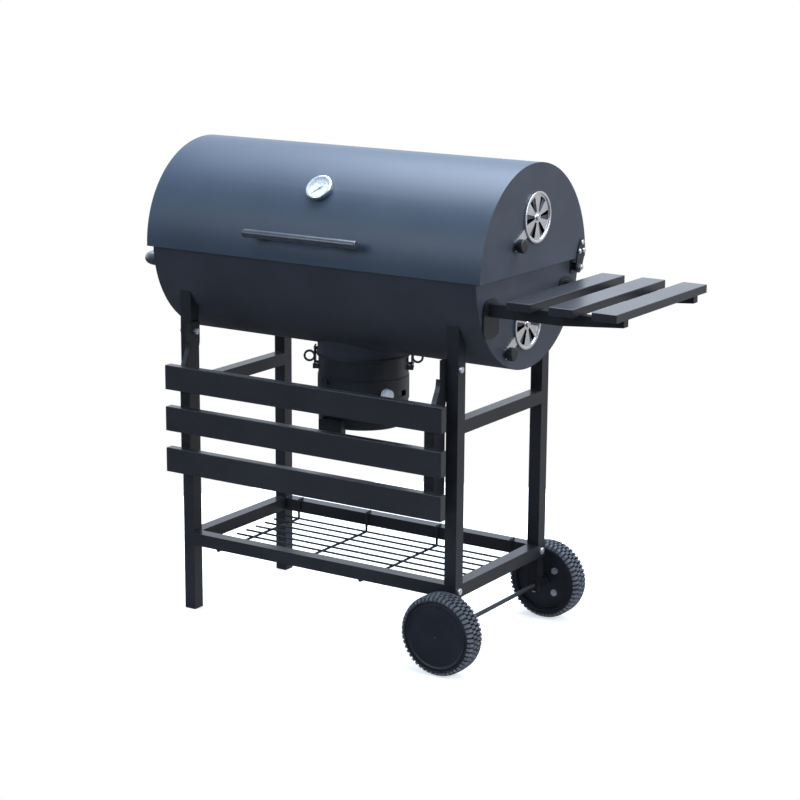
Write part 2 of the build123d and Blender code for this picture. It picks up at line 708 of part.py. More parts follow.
with BuildPart() as cross_wires:
    turn_y = LEG_Y - TUBE / 2 - CROSS_WIRE - 0.3
    hook_z = RAIL_Z + TUBE + CROSS_WIRE + 0.3
    for x in CROSS_WIRES:
        with BuildLine() as route:
            FilletPolyline(
                (x, -turn_y, hook_z - TUBE / 2),
                (x, -turn_y, CROSS_WIRE_Z),
                (x, turn_y, CROSS_WIRE_Z),
                (x, turn_y, hook_z),
                (x, turn_y + 18, hook_z),
                radius=CROSS_WIRE + 1,
            )
        with BuildSketch(Plane(origin=route.line @ 0, z_dir=route.line % 0)):
            Circle(CROSS_WIRE)
        sweep()
save(Compound(long_wires.solids() + cross_wires.solids()), "wire_shelf")

# Axle brackets pushed up into the right legs, their bolts, and the axle
BRACKET = TUBE - 2 * TUBE_WALL
with BuildPart() as axle_brackets:
    with BuildSketch(Plane.XY.offset(AXLE_Z - 14)):
        with Locations((LEG_X, 0)):
            with GridLocations(1, 2 * LEG_Y, 1, 2):
                Rectangle(BRACKET, BRACKET)
                Rectangle(BRACKET - 4, BRACKET - 4, mode=Mode.SUBTRACT)
    extrude(amount=RAIL_Z + TUBE + 8 - AXLE_Z + 14)
    with BuildSketch(Plane.XZ.offset(-CART_Y)):
        with Locations((AXLE_X, AXLE_Z)):
            Circle(AXLE_R)
    extrude(amount=2 * CART_Y, mode=Mode.SUBTRACT)
    with BuildSketch(Plane.YZ.offset(LEG_X - TUBE)):
        with Locations((0, RAIL_Z + TUBE / 2)):
            with GridLocations(2 * LEG_Y, 1, 2, 1):
                Circle(PIN_R)
    extrude(amount=2 * TUBE, mode=Mode.SUBTRACT)
save(axle_brackets.part, "axle_brackets")

with BuildPart() as axle_bolts:
    for x, radius, length in ((LEG_X - TUBE / 2 - 9, PIN_R, TUBE + 9), (CART_X, 8, 4.5)):
        with BuildSketch(Plane.YZ.offset(x)):
            with Locations((0, RAIL_Z + TUBE / 2)):
                with GridLocations(2 * LEG_Y, 1, 2, 1):
                    Circle(radius)
        extrude(amount=length)
    fillet(axle_bolts.edges().group_by(Axis.X)[-1], 2.5)
    with BuildSketch(Plane.YZ.offset(LEG_X - TUBE / 2 - 6)):
        with Locations((0, RAIL_Z + TUBE / 2)):
            with GridLocations(2 * LEG_Y, 1, 2, 1):
                RegularPolygon(7.5, 6)
    extrude(amount=6)

with BuildPart() as axle:
    with BuildSketch(Plane.XZ.offset(-AXLE_HALF)):
        with Locations((AXLE_X, AXLE_Z)):
            Circle(AXLE_R)
    extrude(amount=2 * AXLE_HALF)
    chamfer(axle.edges().filter_by(GeomType.CIRCLE), 1.0)
save(axle.part, "axle")

# Wheels, laid out about the Y axis with the inner side at y = 0
with BuildPart() as hub:
    with BuildSketch(Plane.XY):
        with BuildLine():
            Polyline(
                (0, WHEEL_WIDTH - 9),
                (AXLE_R + RUN, WHEEL_WIDTH - 9),
                (AXLE_R + RUN, 2),
                (14, 2),
                (14, HUB_WEB_Y),
                (HUB_R - 5, HUB_WEB_Y),
                (HUB_R - 5, 3),
                (HUB_R, 3),
                (HUB_R, WHEEL_WIDTH - 3),
                (HUB_R - 2, WHEEL_WIDTH - 1),
                (HUB_R - 5, WHEEL_WIDTH - 1),
                (HUB_R - 8, WHEEL_WIDTH - 3.5),
                (HUB_R - 12, WHEEL_WIDTH - 3.5),
                (HUB_R / 2, WHEEL_WIDTH - 2),
                (0, WHEEL_WIDTH - 1.5),
                close=True,
            )
        make_face()
        with BuildLine():
            Polyline(
                (14, HUB_WEB_Y + 4),
                (14, WHEEL_WIDTH - 9),
                (HUB_WELL_R, WHEEL_WIDTH - 13),
                (HUB_R - 5, WHEEL_WIDTH - 11),
                (HUB_R - 5, HUB_WEB_Y + 4),
                close=True,
            )
        make_face(mode=Mode.SUBTRACT)
    revolve(axis=Axis.Y)
    with BuildSketch(Plane.XZ):
        with PolarLocations(HUB_BOLT_R, HUB_BOLTS, start_angle=HUB_BOLT_TURN):
            Circle(PIN_R)
    extrude(amount=-HUB_WEB_Y - 6, mode=Mode.SUBTRACT)

with BuildPart() as hub_bolts:
    for y, radius, length in ((HUB_WEB_Y - 5, PIN_R, 14), (HUB_WEB_Y - 4, 8, 4)):
        with BuildSketch(Plane.XZ.offset(-y)):
            with PolarLocations(HUB_BOLT_R, HUB_BOLTS, start_angle=HUB_BOLT_TURN):
                Circle(radius)
        extrude(amount=-length)

with BuildPart() as tyre:
    with BuildSketch(Plane.XY):
        with BuildLine():
            Polyline(
                (HUB_R, 3),
                (HUB_R + 3, 0),
                (WHEEL_R - 9, 0),
                (WHEEL_R - 2, 5),
                (WHEEL_R, 13),
                (WHEEL_R, WHEEL_WIDTH - 13),
                (WHEEL_R - 2, WHEEL_WIDTH - 5),
                (WHEEL_R - 9, WHEEL_WIDTH),
                (HUB_R + 3, WHEEL_WIDTH),
                (HUB_R, WHEEL_WIDTH - 3),
                close=True,
            )
        make_face()
    revolve(axis=Axis.Y)

for piece, suffix in ((hub, "hub"), (hub_bolts, "bolts"), (tyre, "tyre")):
    placed = piece.part.moved(Location((AXLE_X, WHEEL_IN, AXLE_Z)))
    save(placed, f"wheel_back_{suffix}")
    save(placed.mirror(Plane.XZ), f"wheel_front_{suffix}")

# Side table: two folded arms, each with an end plate welded to the bowl
TABLE_BOLT_X = [TABLE_FIRST_X + TABLE_SLAT / 2 + i * TABLE_PITCH for i in range(3)]
TABLE_ARM_TOP = TABLE_TOP - TABLE_THICK
with BuildPart() as table_arm:
    with BuildSketch(Plane.XZ.offset(-TABLE_ARM_WIDTH / 2)):
        with BuildLine():
            Polyline(
                (BOWL_HALF, TABLE_ARM_TOP),
                (TABLE_ARM_END, TABLE_ARM_TOP),
                (TABLE_ARM_END, TABLE_ARM_TOP - 16),
                (TABLE_ARM_KNEE, TABLE_ARM_TOP - 28),
                (BOWL_HALF, TABLE_ARM_TOP - 28),
                close=True,
            )
        make_face()
    extrude(amount=TABLE_ARM_WIDTH)
    with BuildSketch(Plane.XZ.offset(-TABLE_ARM_WIDTH / 2 + TUBE_WALL)):
        with Locations((BOWL_HALF + 3.5, TABLE_ARM_TOP - TUBE_WALL)):
            Rectangle(TABLE_ARM_END - TUBE_WALL - BOWL_HALF - 3.5, 40, align=(Align.MIN, Align.MAX))
    extrude(amount=TABLE_ARM_WIDTH - 2 * TUBE_WALL, mode=Mode.SUBTRACT)
    with BuildSketch(Plane.YZ.offset(BOWL_HALF)) as plate:
        with Locations((0, TABLE_ARM_TOP + 8)):
            Rectangle(60, 85, align=(Align.CENTER, Align.MAX))
        fillet(plate.vertices().group_by(Axis.Z)[-1], 18)
        fillet(plate.vertices().group_by(Axis.Z)[0], 4)
    extrude(amount=3.5)
    with BuildSketch(Plane.XY.offset(TABLE_ARM_TOP - 5)):
        with Locations([(x, 0) for x in TABLE_BOLT_X]):
            Circle(3)
    extrude(amount=10, mode=Mode.SUBTRACT)
save(table_arm.part.moved(Location((0, -TABLE_ARM_Y, 0))), "table_arm_front")
save(table_arm.part.moved(Location((0, TABLE_ARM_Y, 0))), "table_arm_back")

with BuildPart() as table_slat:
    with Locations((TABLE_SLAT / 2, 0, TABLE_TOP)):
        Box(TABLE_SLAT, 2 * TABLE_HALF, TABLE_THICK, align=(Align.CENTER, Align.CENTER, Align.MAX))
        fillet(table_slat.edges().filter_by(Axis.Z), 2.0)
        fillet(table_slat.edges().group_by(Axis.Z)[-1], 1.4)
    with Locations((TABLE_SLAT / 2, 0, TABLE_TOP - TUBE_WALL)):
        Box(
            TABLE_SLAT - 2 * TUBE_WALL,
            2 * (TABLE_HALF - TUBE_WALL),
            TABLE_THICK,
            align=(Align.CENTER, Align.CENTER, Align.MAX),
            mode=Mode.SUBTRACT,
        )
for i, name in enumerate(("inner", "middle", "outer")):
    save(table_slat.part.moved(Location((TABLE_FIRST_X + i * TABLE_PITCH, 0, 0))), f"table_slat_{name}")

with BuildPart() as table_bolts:
    for z, radius, length in ((TABLE_ARM_TOP - 5.5, 6, 4), (TABLE_ARM_TOP - 5.5, 3, 22)):
        with BuildSketch(Plane.XY.offset(z)):
            with Locations((TABLE_BOLT_X[1], 0)):
                with GridLocations(TABLE_PITCH, 2 * TABLE_ARM_Y, 3, 2):
                    Circle(radius)
        extrude(amount=length)

# Front shelf: three folded slats on two swinging brackets
with BuildPart() as shelf_slat:
    with BuildSketch(Plane.XY):
        Rectangle(2 * SHELF_HALF, SHELF_THICK, align=(Align.CENTER, Align.MIN))
    extrude(amount=-SHELF_SLAT)
    fillet(shelf_slat.edges().filter_by(Axis.Y), 2.0)
    fillet(shelf_slat.edges().group_by(Axis.Y)[0], 1.4)
    with Locations((0, TUBE_WALL, -SHELF_SLAT / 2)):
        Box(
            2 * (SHELF_HALF - TUBE_WALL),
            SHELF_THICK,
            SHELF_SLAT - 2 * TUBE_WALL,
            align=(Align.CENTER, Align.MIN, Align.CENTER),
            mode=Mode.SUBTRACT,
        )
for i, name in enumerate(("top", "middle", "bottom")):
    drop = Location((0, SHELF_FRONT_Y, SHELF_TOP_Z - i * SHELF_PITCH))
    save(shelf_slat.part.moved(drop), f"shelf_slat_{name}")

SHELF_BACK_Y = SHELF_FRONT_Y + SHELF_THICK
ARM_OUT_X = CART_X - TUBE - ARM_GAP
ARM_LOW_Z = SHELF_TOP_Z - 2 * SHELF_PITCH - SHELF_SLAT - 5
with BuildPart() as shelf_bracket:
    with BuildSketch(Plane.YZ.offset(ARM_OUT_X - ARM_SHEET)):
        with BuildLine():
            bend = Spline(
                (SHELF_BACK_Y, SHELF_TOP_Z - 20),
                (-222, SHELF_PIVOT_Z - 21),
                tangents=((0, 1), (0, 1)),
            )
            Polyline(bend @ 1, (-222, 698), (-172, 698), (-172, SHELF_PIVOT_Z - 21))
            inner = Spline(
                (-172, SHELF_PIVOT_Z - 21),
                (-202, SHELF_TOP_Z - 20),
                tangents=((0, -1), (0, -1)),
            )
            Polyline(inner @ 1, (-202, ARM_LOW_Z), (SHELF_BACK_Y, ARM_LOW_Z), bend @ 0)
        make_face()
        with Locations((SHELF_PIVOT_Y, SHELF_PIVOT_Z)):
            Circle(PIN_R + RUN, mode=Mode.SUBTRACT)
    extrude(amount=ARM_SHEET)
    # Turned edge that follows the bend, and the wide flange behind the slats
    with BuildSketch(Plane.YZ.offset(ARM_OUT_X - 12)):
        with BuildLine():
            front = Spline(
                (SHELF_BACK_Y, SHELF_TOP_Z - 20),
                (-222, SHELF_PIVOT_Z - 21),
                tangents=((0, 1), (0, 1)),
            )
            back = Spline(
                (SHELF_BACK_Y + ARM_SHEET, SHELF_TOP_Z - 20),
                (-222 + ARM_SHEET, SHELF_PIVOT_Z - 21),
                tangents=((0, 1), (0, 1)),
            )
            Line(front @ 1, back @ 1)
            Line(front @ 0, back @ 0)
        make_face()
    extrude(amount=12)
    with Locations((ARM_OUT_X, SHELF_BACK_Y, ARM_LOW_Z)):
        Box(
            ARM_FLANGE,
            ARM_SHEET,
            SHELF_TOP_Z - 15 - ARM_LOW_Z,
            align=(Align.MAX, Align.MIN, Align.MIN),
        )
save(shelf_bracket.part, "shelf_bracket_right")
save(shelf_bracket.part.mirror(Plane.YZ), "shelf_bracket_left")

with BuildPart() as pivot_bolts:
    for x, radius, length in ((ARM_OUT_X - 12, PIN_R, TUBE + 13), (CART_X, 8, 5)):
        with BuildSketch(Plane.YZ.offset(x)):
            with Locations((SHELF_PIVOT_Y, SHELF_PIVOT_Z)):
                Circle(radius)
        extrude(amount=length)
    fillet(pivot_bolts.edges().group_by(Axis.X)[-1], 2.5)
    with BuildSketch(Plane.YZ.offset(ARM_OUT_X - ARM_SHEET - 7.5)):
        with Locations((SHELF_PIVOT_Y, SHELF_PIVOT_Z)):
            RegularPolygon(7.5, 6)
    extrude(amount=7)
    mirror(about=Plane.YZ)

# All the bright bolts and pins of the frame
bolts = [hinge_pins.part, axle_bolts.part, table_bolts.part, pivot_bolts.part]
save(Compound(children=bolts), "frame_bolts")

# Pull handle: a bent tube with a flange at each end
with BuildPart() as pull_handle:
    with BuildLine() as bend:
        FilletPolyline(
            (-BOWL_HALF, -PULL_Y, PULL_Z),
            (-PULL_X, -PULL_Y, PULL_Z),
            (-PULL_X, PULL_Y, PULL_Z),
            (-BOWL_HALF, PULL_Y, PULL_Z),
            radius=PULL_BEND,
        )
    with BuildSketch(Plane(origin=bend.line @ 0, z_dir=bend.line % 0)):
        Circle(PULL_R)
        Circle(PULL_R - TUBE_WALL, mode=Mode.SUBTRACT)
    sweep()
    with BuildSketch(Plane.YZ.offset(-BOWL_HALF)):
        with Locations((-PULL_Y, PULL_Z), (PULL_Y, PULL_Z)):
            Circle(PULL_R + 6)
            Circle(PULL_R - TUBE_WALL, mode=Mode.SUBTRACT)
    extrude(amount=-3)
save(pull_handle.part, "pull_handle")
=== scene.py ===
import json
from math import cos, pi, radians, sin

import bmesh
import bpy
from mathutils import Matrix, Vector


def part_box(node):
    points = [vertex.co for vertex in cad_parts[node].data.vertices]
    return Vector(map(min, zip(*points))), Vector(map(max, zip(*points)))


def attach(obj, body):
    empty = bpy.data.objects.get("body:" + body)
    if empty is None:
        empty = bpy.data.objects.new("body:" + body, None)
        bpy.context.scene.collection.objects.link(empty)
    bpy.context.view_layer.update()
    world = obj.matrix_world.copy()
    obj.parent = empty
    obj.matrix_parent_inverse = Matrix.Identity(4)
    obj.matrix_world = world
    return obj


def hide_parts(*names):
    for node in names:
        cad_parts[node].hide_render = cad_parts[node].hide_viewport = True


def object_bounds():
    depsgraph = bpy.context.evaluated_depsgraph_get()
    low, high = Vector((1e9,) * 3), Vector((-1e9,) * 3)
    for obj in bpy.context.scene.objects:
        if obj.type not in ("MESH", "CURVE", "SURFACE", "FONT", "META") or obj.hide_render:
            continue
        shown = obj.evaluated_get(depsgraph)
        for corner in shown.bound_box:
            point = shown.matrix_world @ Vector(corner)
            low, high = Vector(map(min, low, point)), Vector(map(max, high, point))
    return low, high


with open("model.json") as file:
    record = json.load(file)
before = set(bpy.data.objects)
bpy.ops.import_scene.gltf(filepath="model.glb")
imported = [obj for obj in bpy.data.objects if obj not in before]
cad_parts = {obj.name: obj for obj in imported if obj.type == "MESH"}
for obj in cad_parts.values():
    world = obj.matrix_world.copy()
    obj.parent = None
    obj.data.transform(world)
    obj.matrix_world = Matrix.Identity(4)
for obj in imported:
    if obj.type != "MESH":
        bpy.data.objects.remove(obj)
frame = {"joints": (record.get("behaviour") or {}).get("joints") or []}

size_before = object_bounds()
LOW = Vector(size_before[0])


# Node materials
LARGE_DETAIL, LARGE_ROUGHNESS = 5.0, 0.6
FINE_DETAIL, FINE_ROUGHNESS = 2.0, 0.5
SPECK_SCALE, SPECK_DETAIL, SPECK_ROUGHNESS = 130.0, 8.0, 0.75


def sockets(tree, kind, **values):
    """Add a node and set its named inputs."""
    node = tree.nodes.new(kind)
    for name, value in values.items():
        node.inputs[name.replace("_", " ")].default_value = value
    return node


def noise(tree, coords, scale, detail=4.0, rough=0.55, stretch=None):
    """Noise factor, optionally stretched along an axis."""
    node = sockets(tree, "ShaderNodeTexNoise", Scale=scale, Detail=detail, Roughness=rough)
    if stretch:
        mapping = sockets(tree, "ShaderNodeMapping", Scale=stretch)
        tree.links.new(coords, mapping.inputs["Vector"])
        coords = mapping.outputs["Vector"]
    tree.links.new(coords, node.inputs["Vector"])
    return node.outputs["Fac"]


def ramp(tree, factor, low, high, start=0.35, end=0.65):
    """Map start..end of a factor to low..high, clamped."""
    node = sockets(tree, "ShaderNodeMapRange")
    node.inputs["From Min"].default_value = start
    node.inputs["From Max"].default_value = end
    node.inputs["To Min"].default_value = low
    node.inputs["To Max"].default_value = high
    tree.links.new(factor, node.inputs["Value"])
    return node.outputs["Result"]


def mix(tree, factor, dark, light):
    """Mix two colours, each a tuple or a socket."""
    node = tree.nodes.new("ShaderNodeMix")
    node.data_type = "RGBA"
    tree.links.new(factor, node.inputs["Factor"])
    for socket, value in ((6, dark), (7, light)):
        if isinstance(value, tuple):
            node.inputs[socket].default_value = (*value, 1.0)
        else:
            tree.links.new(value, node.inputs[socket])
    return node.outputs[2]


def surface(
    name,
    dark,
    light,
    rough=(0.35, 0.45),
    metallic=0.0,
    blotch=18.0,
    grain=900.0,
    bump=0.05,
    depth=0.0002,
    specular=0.5,
    stretch=None,
    dust_and_sheen=None,
):
    """Blotched colour and roughness with a fine bump, in object space."""
    mat = bpy.data.materials.new(name)
    mat.use_nodes = True
    tree = mat.node_tree
    shader = tree.nodes["Principled BSDF"]
    coords = tree.nodes.new("ShaderNodeTexCoord").outputs["Object"]
    large = noise(tree, coords, blotch, LARGE_DETAIL, LARGE_ROUGHNESS, stretch)
    fine = noise(tree, coords, grain, FINE_DETAIL, FINE_ROUGHNESS, stretch)
    colour = mix(tree, ramp(tree, large, 0.0, 1.0), dark, light)
    # Light specks on upward faces: in the sky-tinted colour a painted sky reflection on the tops, and
    # real ash on the grates
    if dust_and_sheen:
        normal = tree.nodes.new("ShaderNodeNewGeometry").outputs["Normal"]
        split = tree.nodes.new("ShaderNodeSeparateXYZ")
        tree.links.new(normal, split.inputs["Vector"])
        speck = noise(tree, coords, SPECK_SCALE, SPECK_DETAIL, SPECK_ROUGHNESS)
        up = ramp(tree, split.outputs["Z"], 0.0, 1.0, 0.1, 1.0)
        scatter = ramp(tree, speck, 0.0, 1.0, 0.42, 0.72)
        both = tree.nodes.new("ShaderNodeMath")
        both.operation = "MULTIPLY"
        tree.links.new(up, both.inputs[0])
        tree.links.new(scatter, both.inputs[1])
        colour = mix(tree, ramp(tree, both.outputs[0], 0.0, dust_and_sheen[1], 0.0, 1.0), colour, dust_and_sheen[0])
    tree.links.new(colour, shader.inputs["Base Color"])
    tree.links.new(ramp(tree, large, rough[0], rough[1], 0.3, 0.7), shader.inputs["Roughness"])
    shader.inputs["Metallic"].default_value = metallic
    shader.inputs["Specular IOR Level"].default_value = specular
    height = sockets(tree, "ShaderNodeBump", Strength=bump, Distance=depth)
    tree.links.new(fine, height.inputs["Height"])
    tree.links.new(height.outputs["Normal"], shader.inputs["Normal"])
    return mat


# Sky-tinted colour of the light specks on upward faces: painted sky reflection
SKY_SHEEN = (0.16, 0.17, 0.19)
mats = {
    # Lid: a lighter, bluer copy of the black paint than the bowl's, painted sky highlight on the lid
    "lid": surface(
        "lid_paint_sky_sheen", (0.033, 0.049, 0.072), (0.039, 0.057, 0.083), (0.42, 0.48), blotch=5.0,
        grain=1400.0, bump=0.07, depth=0.0002, specular=0.5, dust_and_sheen=(SKY_SHEEN, 0.03),
    ),
    "bowl": surface(
        "bowl_paint", (0.029, 0.031, 0.040), (0.035, 0.037, 0.048), (0.38, 0.48), blotch=6.0,
        grain=1400.0, bump=0.08, depth=0.0002, specular=0.3, dust_and_sheen=(SKY_SHEEN, 0.03),
    ),
    "panel": surface(
        "panel_paint", (0.040, 0.046, 0.060), (0.050, 0.057, 0.073), (0.4, 0.5), blotch=11.0,
        grain=1400.0, bump=0.12, depth=0.00025, specular=0.45, dust_and_sheen=(SKY_SHEEN, 0.06),
    ),
    "frame": surface(
        "frame_paint", (0.015, 0.0155, 0.018), (0.020, 0.021, 0.024), (0.3, 0.36), blotch=8.0,
        grain=900.0, bump=0.03, depth=0.00015, specular=0.36, dust_and_sheen=(SKY_SHEEN, 0.03),
    ),
    "slat": surface(
        "slat_paint", (0.0185, 0.0187, 0.022), (0.022, 0.0225, 0.026), (0.3, 0.34), blotch=6.0,
        grain=900.0, bump=0.03, depth=0.00015, specular=0.6, dust_and_sheen=(SKY_SHEEN, 0.16),
    ),
    "pot": surface(
        "pot_paint", (0.015, 0.016, 0.019), (0.021, 0.022, 0.026), (0.3, 0.36), blotch=9.0,
        grain=700.0, bump=0.05, depth=0.0002, specular=0.55,
    ),
    # Handles and latches: a lighter copy of the black paint, painted highlight
    "handle": surface(
        "handle_paint_highlight", (0.034, 0.036, 0.042), (0.046, 0.049, 0.057), (0.18, 0.24), blotch=30.0,
        grain=700.0, bump=0.03, depth=0.0001, specular=0.7,
    ),
    "iron": surface(
        "grate_iron_seasoned", (0.02, 0.019, 0.018), (0.055, 0.05, 0.046), (0.45, 0.7),
        metallic=0.35, blotch=60.0, grain=420.0, bump=0.5, depth=0.0006, dust_and_sheen=((0.2, 0.18, 0.16), 0.25),
    ),
    "zinc": surface(
        "bright_zinc_plate", (0.72, 0.73, 0.76), (0.88, 0.89, 0.91), (0.22, 0.38), metallic=0.85,
        blotch=160.0, grain=900.0, bump=0.15, depth=0.0002,
    ),
    "steel": surface(
        "drawn_steel", (0.05, 0.052, 0.057), (0.09, 0.093, 0.1), (0.34, 0.5), metallic=0.8,
        blotch=120.0, grain=600.0, bump=0.05, depth=0.0001, stretch=(1.0, 0.05, 1.0),
    ),
    "chrome": surface(
        "bright_chrome_plate", (0.78, 0.78, 0.79), (0.9, 0.9, 0.91), (0.22, 0.32), metallic=1.0,
        blotch=45.0, grain=260.0, bump=0.16, depth=0.0004,
    ),
    "knob": surface(
        "black_heat_plastic", (0.010, 0.010, 0.012), (0.018, 0.018, 0.021), (0.32, 0.45),
        blotch=90.0, grain=2400.0, bump=0.25, depth=0.00015,
    ),
    "grey": surface(
        "grey_knob_plastic", (0.55, 0.56, 0.6), (0.68, 0.69, 0.73), (0.4, 0.55),
        blotch=120.0, grain=2400.0, bump=0.25, depth=0.00015,
    ),
    "hub": surface(
        "wheel_plastic", (0.010, 0.011, 0.016), (0.014, 0.015, 0.021), (0.3, 0.38), blotch=14.0,
        grain=1200.0, bump=0.05, depth=0.00015, specular=0.45, dust_and_sheen=(SKY_SHEEN, 0.04),
    ),
    "rubber": surface(
        "tyre_rubber", (0.009, 0.0095, 0.012), (0.015, 0.016, 0.019), (0.5, 0.7), blotch=55.0,
        grain=1300.0, bump=0.35, depth=0.0003, specular=0.3, dust_and_sheen=(SKY_SHEEN, 0.12),
    ),
    # Tread blocks: a lighter copy of the tyre rubber, painted highlight on the tread
    "tread": surface(
        "tread_rubber_highlight", (0.055, 0.058, 0.066), (0.11, 0.115, 0.125), (0.45, 0.65), blotch=90.0,
        grain=900.0, bump=0.4, depth=0.0003, specular=0.3, dust_and_sheen=(SKY_SHEEN, 0.3),
    ),
    "dial": surface(
        "dial_face", (0.93, 0.94, 0.95), (0.97, 0.975, 0.98), (0.3, 0.42), blotch=60.0,
        grain=2600.0, bump=0.05, depth=0.0001,
    ),
    "needle": surface(
        "needle_enamel", (0.02, 0.02, 0.023), (0.04, 0.04, 0.044), (0.28, 0.4), blotch=200.0,
        grain=3000.0, bump=0.05, depth=0.0001,
    ),
    "ink": surface(
        "dial_ink", (0.16, 0.165, 0.18), (0.24, 0.245, 0.26), (0.45, 0.6), blotch=300.0,
        grain=3000.0, bump=0.1, depth=0.0001,
    ),
    # Axle brackets: a darker copy of the frame paint, painted shade under the rails
    "bracket": surface(
        "frame_paint_shaded", (0.007, 0.0072, 0.0085), (0.010, 0.0105, 0.012), (0.36, 0.44), blotch=9.0,
        grain=900.0, bump=0.04, depth=0.00015, specular=0.3,
    ),
    "weld": surface(
        "painted_weld", (0.008, 0.0085, 0.011), (0.016, 0.017, 0.021), (0.3, 0.45), blotch=220.0,
        grain=900.0, bump=0.4, depth=0.0004, specular=0.5,
    ),
}
glass = bpy.data.materials.new("gauge_glass")
glass.use_nodes = True
glass_shader = glass.node_tree.nodes["Principled BSDF"]
glass_shader.inputs["Base Color"].default_value = (0.97, 0.985, 1.0, 1.0)
glass_shader.inputs["Alpha"].default_value = 0.12
glass_shader.inputs["IOR"].default_value = 1.3
glass_coords = glass.node_tree.nodes.new("ShaderNodeTexCoord").outputs["Object"]
glass_smear = noise(glass.node_tree, glass_coords, 90.0)
glass.node_tree.links.new(
    ramp(glass.node_tree, glass_smear, 0.01, 0.06), glass_shader.inputs["Roughness"]
)
mats["glass"] = glass

USES = {
    "lid": ("lid_shell",),
    "bowl": ("bowl_shell", "ash_collar"),
    "panel": ("bowl_end_left", "bowl_end_right", "lid_end_left", "lid_end_right"),
    "frame": (
        "hinge_brackets", "lid_hinge_leaves", "leg_front_left", "leg_back_left",
        "leg_front_right", "leg_back_right", "crossbar_left", "crossbar_right", "rail_front",
        "rail_back", "rail_left", "rail_right", "wire_shelf",
        "table_arm_front", "table_arm_back", "shelf_bracket_left", "shelf_bracket_right",
    ),
    "bracket": ("axle_brackets",),
    "slat": (
        "table_slat_inner", "table_slat_middle", "table_slat_outer", "shelf_slat_top",
        "shelf_slat_middle", "shelf_slat_bottom",
    ),
    "pot": ("ash_pot", "ash_damper_ring"),
    "handle": (
        "lid_handle", "pull_handle", "ash_latch_brackets", "ash_latch_left", "ash_latch_right",
    ),
    "iron": ("cooking_grate_left", "cooking_grate_right", "charcoal_grate"),
    "zinc": ("frame_bolts", "lid_hinge_screws", "wheel_front_bolts", "wheel_back_bolts"),
    "steel": ("axle",),
    "chrome": ("thermometer_case", "lid_vent_disc", "bowl_vent_disc"),
    "knob": ("lid_vent_knob", "bowl_vent_knob", "foot_caps"),
    "grey": ("ash_damper_knob",),
    "hub": ("wheel_front_hub", "wheel_back_hub"),
    "rubber": ("wheel_front_tyre", "wheel_back_tyre"),
    "dial": ("thermometer_dial",),
    "needle": ("thermometer_needle",),
    "glass": ("thermometer_lens",),
}
for key, nodes in USES.items():
    for node in nodes:
        cad = bpy.data.objects[node]
        for index in range(len(cad.material_slots)):
            cad.material_slots[index].material = mats[key]


# Pieces
def piece(name, bm, body, slot, *materials, smooth=35.0):
    """Turn a bmesh into an object that rides on a body."""
    mesh = bpy.data.meshes.new(name)
    bmesh.ops.recalc_face_normals(bm, faces=bm.faces)
    bm.to_mesh(mesh)
    bm.free()
    for mat in materials:
        mesh.materials.append(mats[mat])
    for polygon in mesh.polygons:
        polygon.use_smooth = True
    mesh.set_sharp_from_angle(angle=radians(smooth))
    obj = bpy.data.objects.new(name, mesh)
    bpy.context.collection.objects.link(obj)
    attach(obj, body)
    return obj


# Tyres: a moulded carcass with four staggered rows of tread blocks
LUGS = 50
TYRE_SEGMENTS = 150
TREAD_DEPTH = 0.005
BLOCK_HALF = 0.29  # half a block's length, in pitches
ROOT_FLARE = 1.15  # a block's root over its top
BLOCK_SKEW = 0.8  # turn of a block per metre across the tread


